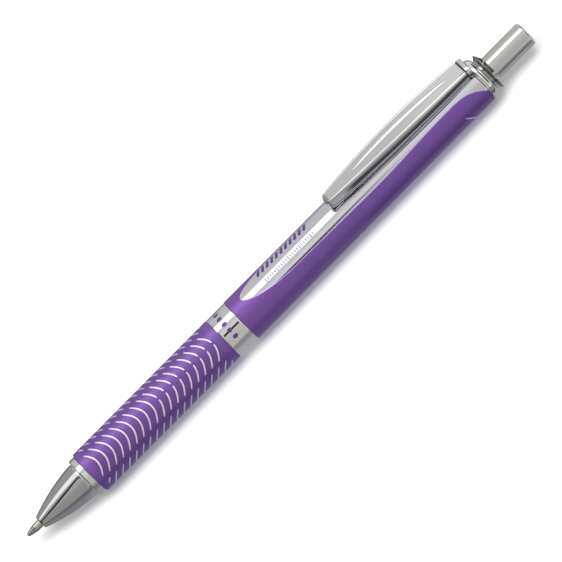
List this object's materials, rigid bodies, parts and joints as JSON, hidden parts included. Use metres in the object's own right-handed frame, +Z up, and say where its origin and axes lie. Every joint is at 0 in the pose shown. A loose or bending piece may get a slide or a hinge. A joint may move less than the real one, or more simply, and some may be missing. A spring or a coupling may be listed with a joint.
{
  "type": "retractable gel pen",
  "caption": "Slim click pen with a lacquered metal grip and barrel, chrome nose cone, band and pocket clip, and a long steel push button, latched with its point out.",
  "frame": {"origin": "on the surface it lies on, under the middle of its length", "axes": "+X along the pen from the writing point to the push button, +Z up through the clip"},
  "size_m": [0.14, 0.0098, 0.0138],
  "materials": {
    "lacquer": "satin violet lacquer",
    "chrome": "polished chrome plate",
    "button_steel": "satin steel",
    "spring_steel": "drawn spring wire",
    "brass": "turned brass",
    "liner_plastic": "moulded black plastic",
    "cam_plastic": "moulded white acetal",
    "tube_plastic": "clear polypropylene",
    "holder_plastic": "moulded violet plastic",
    "ink": "wet violet gel ink",
    "grease": "clear follower grease",
    "point_metal": "turned nickel silver",
    "carbide": "polished tungsten carbide"
  },
  "bodies": {
    "barrel": {"barrel": "lacquer", "centre_band": "chrome", "thread_bush": "brass", "cam_housing": "cam_plastic", "clip_ring": "chrome", "dome_collar": "chrome", "crown_ring": "chrome"},
    "clip": {"clip_arm": "chrome"},
    "button": {"push_button": "button_steel", "plunger": "cam_plastic"},
    "refill": {"refill_point": "point_metal", "refill_tip_holder": "holder_plastic", "refill_tube": "tube_plastic", "refill_ink": "ink", "refill_follower": "grease", "refill_tail_plug": "holder_plastic"},
    "rotor": {"rotor_cam": "cam_plastic"},
    "ball": {"refill_ball": "carbide"},
    "spring": {"return_spring": "spring_steel"},
    "front": {"nose_cone": "chrome", "grip_sleeve": "lacquer", "grip_liner": "liner_plastic"}
  },
  "joints": [
    {"name": "button_slide", "type": "slide", "parent": "barrel", "child": "button", "axis": [1, 0, 0], "range_m": [-0.0012, 0.0046]},
    {"name": "refill_slide", "type": "slide", "parent": "barrel", "child": "refill", "axis": [1, 0, 0], "range_m": [-0.0012, 0.0046], "deforming": ["return_spring"]},
    {"name": "rotor_turn", "type": "hinge", "parent": "refill", "child": "rotor", "pos_m": [0.0425, 0, 0.00495], "axis": [1, 0, 0], "continuous": true},
    {"name": "ball_roll", "type": "hinge", "parent": "refill", "child": "ball", "pos_m": [-0.06965, 0, 0.00495], "axis": [0, 1, 0], "continuous": true},
    {"name": "front_draw", "type": "slide", "parent": "barrel", "child": "spring", "axis": [-1, 0, 0], "range_m": [0, 0.007]},
    {"name": "front_turn", "type": "hinge", "parent": "spring", "child": "front", "pos_m": [-0.034, 0, 0.00495], "axis": [-1, 0, 0], "range_deg": [0, 2520.1]},
    {"name": "clip_flex", "type": "hinge", "parent": "barrel", "child": "clip", "pos_m": [0.0556, 0, 0.0125], "axis": [0, 1, 0], "range_deg": [0, 4], "stiffness_Nm_per_rad": 0.8}
  ],
  "couplings": [
    {"joint": "refill_slide", "follows": "button_slide", "ratio": 1},
    {"joint": "front_turn", "follows": "front_draw", "rad_per_m": 6283.2}
  ]
}
